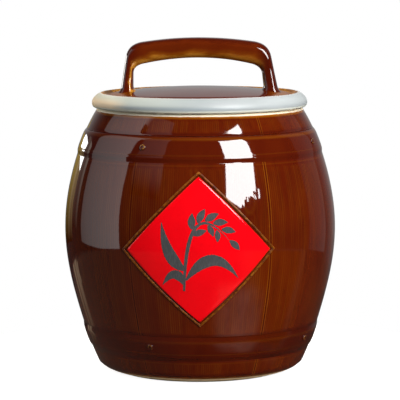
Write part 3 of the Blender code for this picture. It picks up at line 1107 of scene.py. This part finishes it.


# %% [markdown]
# The hoops have no grain. Their glaze is thin over the bead and the shoulder and thick in
# the groove between them. The amber on the shoulder is also painted stronger towards the
# right, as painted light. Both hoops are painted darker towards the left, and the lower one
# towards the right as well, as painted shade. The nail heads are broken amber round the rim.


# %% Hoop and nail glazes
def hoop_glaze(base, shoulder, strength):
    glaze = Glaze(f"hoop_glaze_{round(base / MM)}")
    x, z = glaze.axes("XZ")
    up = z - base
    # painted shade: the hoops are deepened towards the left, the lower one also towards the
    # right
    deep_share = x.step(0.0, -0.115) * 0.5 + (0.55 - 0.25 * strength)
    deep_share = deep_share + x.step(0.03, 0.07) * (0.5 - 0.5 * strength)
    # the shoulder's amber is thin glaze, painted stronger towards the right as painted light
    shine = (x.step(-0.08, 0.02) * 0.16 + 0.10) * strength
    colour = glaze.coats(
        brown_base(glaze),
        (deep_share.smaller(1.0), DEEP),
        (up.line(0.0068, 0.0010) * 0.10, AMBER),
        (up.line(shoulder, 0.0024) * shine, AMBER),
        (up.line(0.0256, 0.0012) * 0.6, DEEP),
    )
    return glaze.fire(colour, glaze.clouds(0.005, detail=2.0))


def nail_glaze():
    glaze = Glaze("nail_glaze", 0.20)
    (z,) = glaze.axes("Z")
    broken = glaze.clouds(0.0022, detail=2.0).step(0.42, 0.56)
    rim = glaze.noted("ring").line(0.66, 0.30)
    warm_share = rim * broken * (0.22 + 0.18 * z.step(0.1, 0.2))
    return glaze.fire(glaze.mix(warm_share, DEEP, GOLD))


# %% [markdown]
# ## Tile, bead and paint
#
# The red is an opaque overglaze: nearly one colour, a little deeper in slow clouds. The paint
# is a dark grey enamel with brush hairs drawn through it, which show as fine paler streaks.


# %% Tile, bead and paint glazes
RED = (0.86, 0.0012, 0.0055)
SLOW_RED = (0.74, 0.0010, 0.0050)
FINE_RED = (0.55, 0.0010, 0.0060)
GREY = (0.060, 0.062, 0.064)
PALE_GREY = (0.105, 0.108, 0.110)
DARK_GREY = (0.048, 0.050, 0.050)


def red_glaze():
    glaze = Glaze("red_glaze", 0.05, 1.55)
    slow = glaze.clouds(0.030).step(0.35, 0.7)
    fine = glaze.clouds(0.0035, detail=2.0).step(0.60, 0.75)
    colour = glaze.coats(RED, (slow * 0.5, SLOW_RED), (fine * 0.15, FINE_RED))
    return glaze.fire(colour, glaze.clouds(0.0045, detail=2.0))


def bead_glaze():
    glaze = Glaze("bead_glaze", 0.34, 1.3)
    broken = glaze.clouds(0.0040).step(0.30, 0.62)
    bright = glaze.clouds(0.0025).step(0.52, 0.68)
    return glaze.fire(glaze.coats(DEEP, (broken * 0.52 + 0.08, AMBER), (bright * 0.20, GOLD)))


def enamel():
    glaze = Glaze("dark_enamel", 0.16, 1.5)
    hairs = glaze.clouds(0.0012, (1, 1, 0.25))
    pale = hairs.step(0.40, 0.75) * 0.5
    pools = glaze.clouds(0.010).step(0.45, 0.70) * 0.4
    return glaze.fire(glaze.coats(GREY, (pale, PALE_GREY), (pools, DARK_GREY)), hairs, 0.00006)


# %% [markdown]
# ## Celadon and the crown
#
# The lid is dipped twice. The rolled rim is celadon, a white glaze with a breath of grey
# green. Its colour carries painted light and shade: it is brighter towards the left and at
# the right end, warm and bright at the left end, with a painted highlight along the top
# edge, a bluish band of painted shade under the roll and a band of painted light on the
# underside. The crown and the inner wall of the rim are brown, and the border between the
# two wanders a little, as a brushed edge does.


# %% Lid glaze
MILK = (0.345, 0.378, 0.376)
MILK_CLOUD = (0.380, 0.404, 0.404)
MILK_LIT_RIGHT = (0.430, 0.460, 0.460)
MILK_LIT_LEFT = (0.490, 0.525, 0.470)
LIT_END_MILK = (0.640, 0.660, 0.560)
LIT_END_MILK_LOW = (1.000, 0.810, 0.550)
MILK_HIGHLIGHT = (0.640, 0.610, 0.590)
MILK_BLUE_SHADE = (0.300, 0.350, 0.380)
MILK_LIT_BOTTOM = (0.920, 0.960, 0.820)
LID_CLAY = (0.45, 0.40, 0.32)


def lid_glaze():
    glaze = Glaze("lid_glaze")
    x, y, z = glaze.axes()
    flat = glaze.node("CombineXYZ", {0: x, 1: y})
    out = glaze.node("VectorMath", {0: flat}, "Value", operation="LENGTH")
    left_end = x.step(-0.068, -0.092)
    blue_shade = z.line(0.2770, 0.0030) * (0.8 - 0.6 * x.step(-0.02, 0.06))
    # painted light and shade: lit left and ends, a painted highlight on top, bluish shade under
    # the roll, lit underside
    milk = glaze.coats(
        MILK,
        (glaze.clouds(0.045).step(0.35, 0.65), MILK_CLOUD),
        (x.step(0.050, 0.085), MILK_LIT_RIGHT),
        (x.step(0.010, -0.070), MILK_LIT_LEFT),
        (left_end, glaze.mix(z.step(0.2860, 0.2790), LIT_END_MILK, LIT_END_MILK_LOW)),
        (z.line(0.2874, 0.0014) * 0.6, MILK_HIGHLIGHT),
        (blue_shade * (1 - left_end * 0.9), MILK_BLUE_SHADE),
        (z.step(0.2756, 0.2740), MILK_LIT_BOTTOM),
    )
    streaks = glaze.clouds(0.006).step(0.3, 0.7)
    # painted light: the gutter's inner wall is painted amber at both ends of the crown
    ends = abs(x).step(0.066, 0.080) * z.step(0.2905, 0.2890)
    brown = glaze.coats(
        brown_base(glaze),
        (ends * (0.50 + 0.5 * streaks), AMBER),
        (out.step(0.0950, 0.0985) * (0.20 + 0.5 * streaks), GOLD),
    )
    border = (out + (glaze.clouds(0.016) - 0.5) * 0.0016).step(0.1010, 0.1015)
    under = glaze.mix(out.step(0.0990, 0.1010), LID_CLAY, milk)
    colour = glaze.mix(z.step(0.2690, 0.2700), under, glaze.mix(border, brown, milk))
    rough = border * (left_end * 0.20 + 0.40) + (1 - border) * ends * 0.25 + 0.04
    glaze.put("Roughness", rough)
    return glaze.fire(colour, glaze.clouds(0.004, detail=2.0))


# %% [markdown]
# The handle's glaze ran down while it was wet. It is golden along the lower half of the bar,
# found from the height below the bar's curved top, and on the inner side of the left leg,
# found from the way the surface faces: partly thin glaze and partly painted light. The top of
# the bar, the outer sides of the legs and the whole right leg are painted dark, as painted
# shade.


# %% Handle glaze
BAR_FALL = (HANDLE_TOP - OUTER["shoulder"][1]) / OUTER["shoulder"][0] ** 2 / MM


def handle_glaze():
    glaze = Glaze("handle_glaze")
    x, z = glaze.axes("XZ")
    (nx,) = glaze.axes("X", "Normal")
    wander = (glaze.clouds(0.008, (0.4, 1, 1)) - 0.5) * 0.5
    below = (HANDLE_TOP * MM - x * x * BAR_FALL - z) / (BAR_THICKNESS * MM) + wander
    on_bar = abs(x).step(0.070, 0.056)
    right = x.step(0.0, 0.03)
    inward = (nx * x * -14.0 + wander) * (1 - on_bar)
    turned = inward.step(0.05, 0.30) * inward.step(0.80, 0.55) * (1 - right)
    low_side = on_bar * (1 - 0.5 * right)
    # painted light over thin glaze: golden lower half of the bar and inner side of the left leg
    warm_share = (below.step(0.50, 0.95) * low_side).larger(turned * 0.9)
    gold = (below.step(0.72, 1.05) * low_side).larger(turned * 0.7)
    # painted shade: the outer sides of the legs and the whole right leg are darkened
    deep_share = (nx * x * 14.0).step(-0.15, 0.40).larger(right) * (1 - on_bar)
    colour = glaze.coats(
        brown_base(glaze),
        (on_bar * 0.16, ORANGE),
        # painted shade: the top of the bar is darkened
        (on_bar * below.step(0.25, 0.05) * 0.7, DEEP),
        (warm_share * 0.8, AMBER),
        (gold * 0.8, GOLD),
        (deep_share * 0.8, DEEP),
        (z.step(0.2880, 0.2845) * (0.5 - 0.4 * right), ORANGE),
    )
    return glaze.fire(colour, glaze.clouds(0.004, detail=2.0))


# %% [markdown]
# ## Put the glazes on and hide the CAD nodes that the pieces stand in for
#
# Every piece rides on the CAD body it belongs to, so it moves with it, and takes the place
# of the CAD node of the same part.

# %% Dress the jar
DRESS = (
    (pot, pot_glaze(), "jar", "brown_glaze", ("jar_body",)),
    (upper_band, hoop_glaze(UPPER_HOOP[0], 0.0226, 1.0), "jar", "hoop_glaze", ("upper_hoop",)),
    (lower_band, hoop_glaze(LOWER_HOOP[0], 0.0195, 0.3), "jar", "hoop_glaze", ("lower_hoop",)),
    (tile, red_glaze(), "jar", "red_glaze", ("diamond_tile",)),
    (bead, bead_glaze(), "jar", "amber_glaze", ("diamond_frame",)),
    (paint, enamel(), "jar", None, ()),
    (lid_body, lid_glaze(), "lid", "celadon_glaze", ("lid",)),
    (handle, handle_glaze(), "lid", "handle_glaze", ("lid_handle",)),
)
nail_material = nail_glaze()
for piece, material, body, slot, nodes in DRESS + tuple(
    (nail, nail_material, "jar", "hoop_glaze", ()) for nail in nails
):
    piece.data.materials.clear()
    piece.data.materials.append(material)
    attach(piece, body)
    if nodes:
        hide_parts(*nodes)

# %% [markdown]
# ## The camera
#
# The camera stands 2.44 m in front of the jar and looks down a little. The lens is long,
# which is why the jar looks so upright. It leans by a quarter of a degree, as the
# photograph does.

# %% Camera
CAMERA_PLACE = (0, -2.440, 0.447)
CAMERA_PITCH = 6.362
CAMERA_ROLL = -0.25

camera_data = bpy.data.cameras.new("camera")
camera_data.sensor_width = 36
camera_data.lens = 213.24
camera = bpy.data.objects.new("camera", camera_data)
bpy.context.scene.collection.objects.link(camera)
camera.location = CAMERA_PLACE
camera.rotation_mode = "ZXY"
camera.rotation_euler = (math.radians(90 - CAMERA_PITCH), 0, math.radians(CAMERA_ROLL))
bpy.context.scene.camera = camera

# %% [markdown]
# ## The studio
#
# The glaze mirrors whatever stands round it, so the lights are placed where the reflections
# in the photograph point back to. A panel is given by the directions of its corners seen
# from the jar: azimuth (0 is the camera's side, positive to the right) and elevation. The
# narrow tall panel is the main light. The others are the walls and screens of the studio.


# %% Light panels
JAR_MIDDLE = Vector((0, 0, 0.16))
WHITE = (1.0, 1.0, 1.0)
MAIN_GLOW = 18.0
MAIN_EDGE = ((22.2, 15.5), (33.6, 10.3), (37.5, 11.5), (41.0, 14.3), (48.2, 14.0), (51.5, 27.0),
             (50.6, 33.0), (49.2, 47.5), (33.0, 45.0), (20.4, 44.5), (23.8, 29.0))


def direction(azimuth, elevation):
    turn = math.radians(elevation)
    return round_jar(azimuth, math.cos(turn), math.sin(turn))


def panel(name, corners, distance, glow, end_glow=None, colour=WHITE, streaks=0.0, fade=0.0):
    """A flat glowing panel with its corners in the given directions from the jar.

    It can change from glow to end_glow across, have upright streaks and fade at the bottom.
    """
    ways = [direction(*corner) for corner in corners]
    middle = sum(ways, Vector()).normalized()
    places = [JAR_MIDDLE + way * (distance / way.dot(middle)) for way in ways]
    circle = bpy.ops.mesh.primitive_circle_add
    piece = add(circle, name, vertices=len(corners), radius=1, fill_type="NGON")
    for vert, place in zip(piece.data.vertices, places):
        vert.co = place
    light = Glaze(name)
    strength = glow
    if end_glow is not None:
        start = (places[0] + places[3]) / 2
        across = (places[1] + places[2]) / 2 - start
        along = across / across.length_squared
        share = sum((axis - origin) * slope
                    for axis, origin, slope in zip(light.axes(), start, along))
        strength = share * (end_glow - glow) + glow
    if streaks:
        stripes = light.clouds(0.36, (1, 1, 0.16), 2.0).step(0.40, 0.60)
        strength = strength * (stripes * streaks * 1.6 + (1 - streaks * 0.8))
    if fade:
        foot = min(place.z for place in places)
        strength = light.axes("Z")[0].step(foot, foot + fade) * strength
    light.shine(light.node("Emission", {"Color": (*colour, 1.0), "Strength": strength}))
    piece.data.materials.append(light.material)
    piece.visible_camera = False
    piece.visible_shadow = False
    return piece


panel("main_light", MAIN_EDGE, 1.7, MAIN_GLOW)
panel("main_strip", ((50.5, 13.4), (51.8, 13.4), (52.1, 17.2), (50.7, 17.2)), 1.7, MAIN_GLOW)
panel("left_wall", ((-70.5, -11.4), (-118.5, -9.2), (-119, 44), (-70.5, 50)), 2.2, 1.33, 0.42)
panel("left_screen", ((-35.5, 14), (-63.5, 14), (-63, 51), (-33.5, 51)), 2.4, 0.34, 0.19,
      fade=0.5)
panel("left_join", ((-63, 42.5), (-70.5, 43.5), (-70.5, 54), (-63, 54)), 2.3, 0.19, 1.10)
panel("right_wall", ((103, -12), (131, -12), (131, 45), (103, 45)), 2.2, 0.10, 0.18)
panel("window", ((-152, 4.6), (-136, 5.2), (-134.5, 11.2), (-151, 8.8)), 2.6, 7.0)
panel("shelf", ((-163, -9), (-163, 5.5), (-149, 5.5), (-149, -9)), 2.6, 0.0, 0.46,
      colour=(1.0, 0.74, 0.20), streaks=0.8)
panel("shelf_middle", ((-149, -9), (-149, 5.5), (-138, 5.5), (-138, -9)), 2.6, 0.0, 0.85,
      colour=(1.0, 0.76, 0.36), streaks=0.6)
panel("shelf_end", ((-138, -6), (-138, 14), (-126, 14), (-126, -6)), 2.6, 0.03, 0.50,
      colour=(1.0, 0.95, 0.82), streaks=0.6)
left_glow = panel("left_glow", ((-125, 12), (-162, 12), (-162, 50), (-125, 50)), 2.0, 2.2,
                  colour=(1.0, 0.60, 0.15))
left_glow.visible_glossy = False
panel("rail", ((-147, -24), (-147, -13), (-134, -13), (-134, -24)), 2.7, 0.10, 0.45,
      colour=(1.0, 0.75, 0.50), streaks=0.6)

# %% [markdown]
# The background is white for the camera. In reflections the wall behind the jar is grey,
# brightest straight behind, where the crown of the lid mirrors it. The rest of the room is
# dark, which keeps the brown deep, and below the edge of the table it is a dark warm grey,
# lightest on the left. In front on the right it has a soft sheen of the main light, and
# further right it is lit wood. Matt surfaces get a soft fill, mostly from above.

# %% World
ROOM_GLOW = 0.025
WALL_GLOW = 0.34
TABLE_EDGE = -0.21
TABLE_GLOW = 0.02
TABLE_LEFT = 0.07
WOOD_GLOW = 0.24
SHEEN_GLOW = 0.72
FILL_ABOVE = 1.5
FILL_ROUND = 0.03
FILL_BELOW = 0.015
TABLE_TINT = (1.0, 0.82, 0.66)
WOOD_TINT = (1.0, 0.27, 0.06)
SHEEN_TINT = (1.0, 0.58, 0.46)


def make_world():
    world = bpy.data.worlds.new("studio")
    bpy.context.scene.world = world
    world.use_nodes = True
    sky = Net(world.node_tree)
    across, ahead, rise = sky.axes(where="Generated")
    behind = ((ahead - 0.55) / 0.45).larger(0.0)
    foot = (rise + across * 0.24).step(-0.20, 0.0)
    table = rise.step(TABLE_EDGE + 0.012, TABLE_EDGE - 0.012)
    wood = table * across.step(0.45, 0.80) * ahead.step(0.25, 0.05)
    wood = wood * rise.step(-0.70, -0.56)
    turn = across.angle_from(ahead * -1.0)
    sheen = turn.step(0.14, 0.60) * turn.step(1.25, 0.85)
    sheen = sheen * rise.step(-0.43, -0.57) * rise.step(-0.76, -0.66)
    sheen = sheen * (sky.clouds(0.16, where="Generated").step(0.35, 0.65) * 0.5 + 0.5)
    studio = behind * behind * foot * (WALL_GLOW + rise * 0.3) + ROOM_GLOW
    studio = studio + table * ((across * -TABLE_LEFT).larger(0.0) + TABLE_GLOW)
    studio = studio + wood * WOOD_GLOW + sheen * SHEEN_GLOW
    above = rise.larger(0.0)
    fill = above * above * above * FILL_ABOVE + FILL_BELOW
    fill = fill + rise.step(-0.02, 0.02) * (FILL_ROUND - FILL_BELOW)
    camera_ray, glossy_ray, clear_ray = (
        sky.node("LightPath", None, f"Is {kind} Ray")
        for kind in ("Camera", "Glossy", "Transmission")
    )
    mirrored = glossy_ray.larger(clear_ray)
    strength = mirrored * studio + (1 - mirrored) * fill
    tint = sky.coats(
        WHITE, (table * mirrored, TABLE_TINT), (wood * mirrored, WOOD_TINT),
        (sheen * mirrored, SHEEN_TINT),
    )
    background = sky.tree.nodes["Background"]
    sky.plug(camera_ray + (1 - camera_ray) * strength, background, "Strength")
    sky.plug(tint, background, "Color")


make_world()

# %% [markdown]
# ## The floor
#
# The jar stands on a round board. For the camera its colour is lifted to the white of the
# background, while the jar's shadow still falls on it. It isn't mirrored in the glaze, where
# the dark table takes its place.

# %% Floor
FLOOR_RADIUS = 0.30
FLOOR_THICKNESS = 0.012
FLOOR_GAP = 0.02 * MM
FLOOR_LIFT = 0.93
DARK_BOARD = (0.35, 0.33, 0.30, 1.0)
PALE_BOARD = (0.6, 0.6, 0.6, 1.0)


def make_floor():
    circle = bpy.ops.mesh.primitive_circle_add
    board = add(circle, "board", vertices=96, radius=FLOOR_RADIUS, fill_type="NGON")
    edit(board)
    move((0, 0, -FLOOR_GAP))
    move((0, 0, -FLOOR_THICKNESS), extrude=True)
    mode("OBJECT")
    clean_up(board)
    finish = Glaze("board_paint", 0.6, 1.45)
    dark = finish.node("BsdfDiffuse", {"Color": DARK_BOARD})
    pale = finish.node("BsdfDiffuse", {"Color": PALE_BOARD})
    lift = finish.node("Emission", {"Strength": FLOOR_LIFT})
    seen = finish.node("LightPath", None, "Is Camera Ray")
    shown = finish.node("AddShader", {0: pale, 1: lift})
    finish.shine(finish.node("MixShader", {0: seen, 1: dark, 2: shown}))
    board.data.materials.append(finish.material)
    board.visible_glossy = False


make_floor()

# %% [markdown]
# ## The view settings
#
# The view settings stay plain.

# %% Finish
bpy.context.scene.view_settings.view_transform = "Standard"
